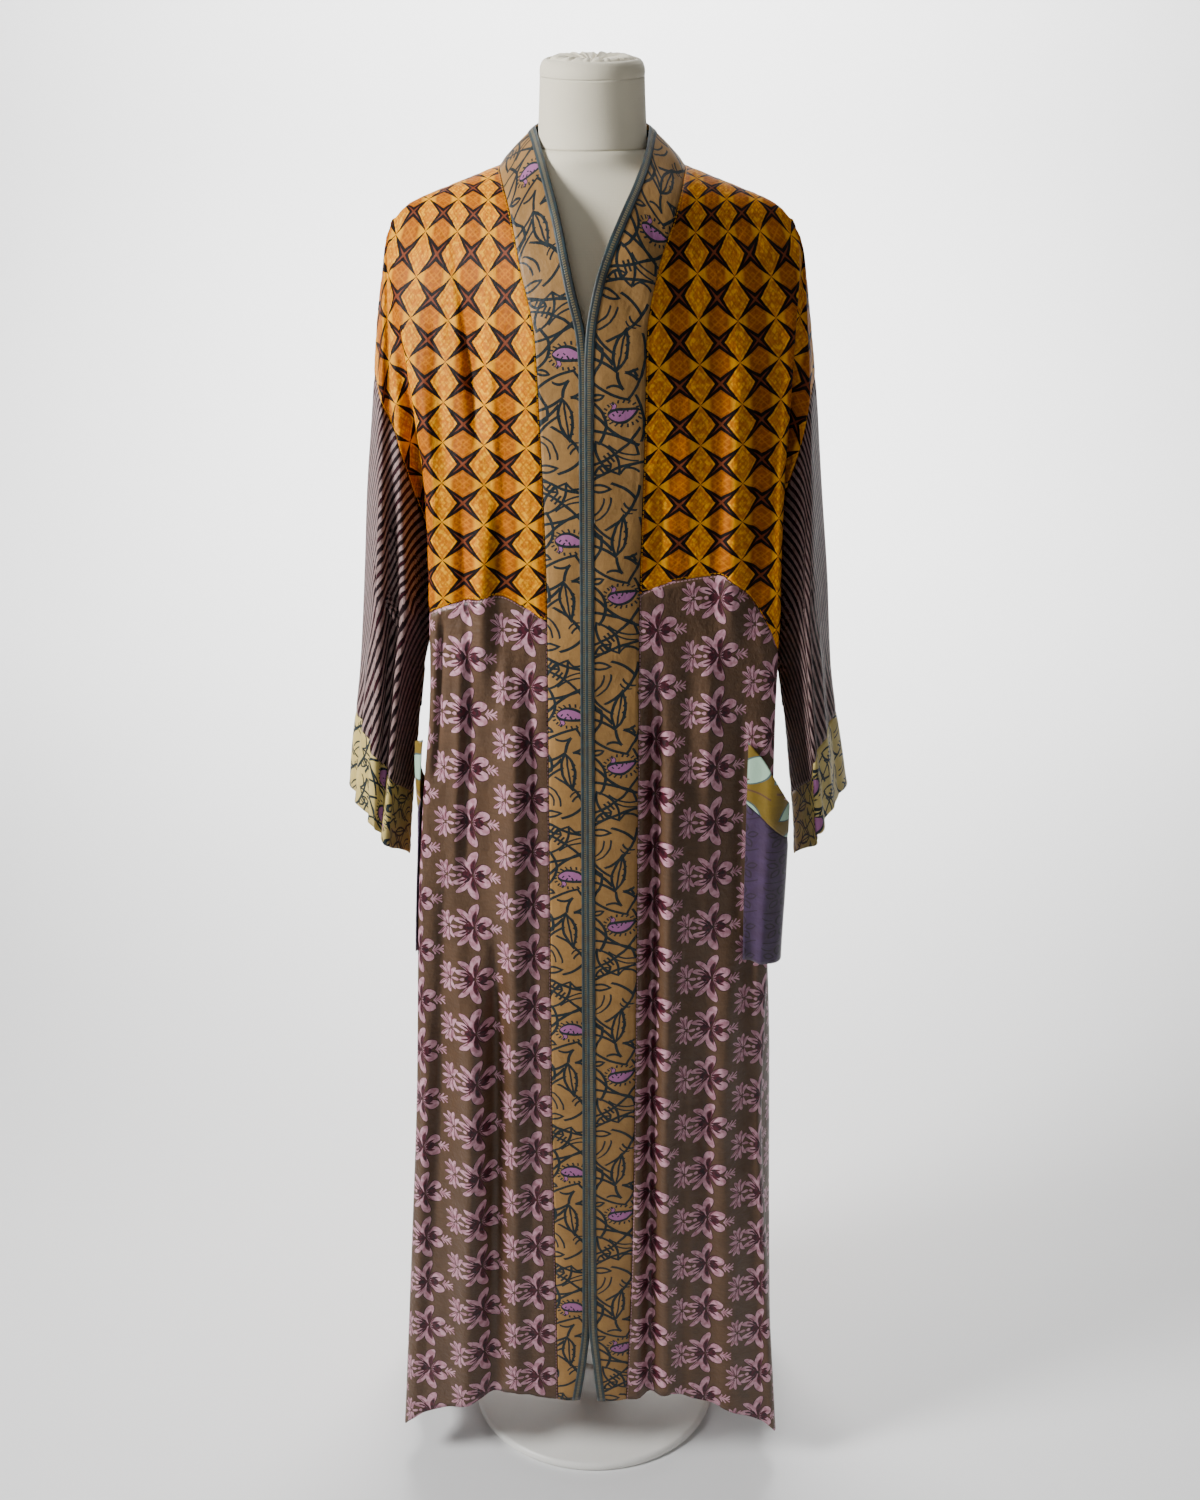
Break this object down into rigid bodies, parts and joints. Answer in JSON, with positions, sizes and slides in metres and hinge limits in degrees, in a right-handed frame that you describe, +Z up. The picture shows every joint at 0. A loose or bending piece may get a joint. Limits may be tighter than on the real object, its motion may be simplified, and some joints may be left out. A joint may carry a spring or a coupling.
{
  "type": "patchwork kimono robe on a limbless dress form",
  "caption": "Long open-fronted patchwork kimono robe with wide hanging sleeves, neckband and side pockets, hung on a limbless dress form on a pole with a round base.",
  "frame": {"origin": "centre of the round base's underside, on the floor, under the pole", "axes": "+Z up along the pole, -Y to the robe's open front, +X to the right when seen from the front"},
  "size_m": [0.5223, 0.28, 1.5084],
  "materials": {
    "amber_print": "soft silk sheen, amber star lattice print",
    "floral_print": "soft silk sheen, pink flowers on brown",
    "sleeve_stripe": "soft silk sheen, mauve and dark stripes",
    "vine_print": "matte silk, dark vines and paisleys on tan",
    "edging_tape": "woven ribbon with a pale ladder",
    "pocket_facing": "mustard silk with pale petals",
    "pocket_bag": "purple silk with fine drawn flowers",
    "form_jersey": "matte cotton jersey stretched over a hard form",
    "stand_paint": "satin pale paint"
  },
  "bodies": {
    "root": {"front_left_upper": "amber_print", "front_right_upper": "amber_print", "back": "amber_print", "front_left_lower": "floral_print", "front_right_lower": "floral_print", "sleeve_left": "sleeve_stripe", "sleeve_right": "sleeve_stripe", "cuff_left": "vine_print", "cuff_right": "vine_print", "neckband_left": "vine_print", "neckband_right": "vine_print", "edging_left": "edging_tape", "edging_right": "edging_tape", "pocket_facing_left": "pocket_facing", "pocket_facing_right": "pocket_facing", "pocket_bag_left": "pocket_bag", "pocket_bag_right": "pocket_bag", "form_torso": "form_jersey", "form_neck": "form_jersey", "neck_cap": "form_jersey", "pole_socket": "stand_paint", "pole": "stand_paint", "base": "stand_paint"}
  },
  "joints": []
}
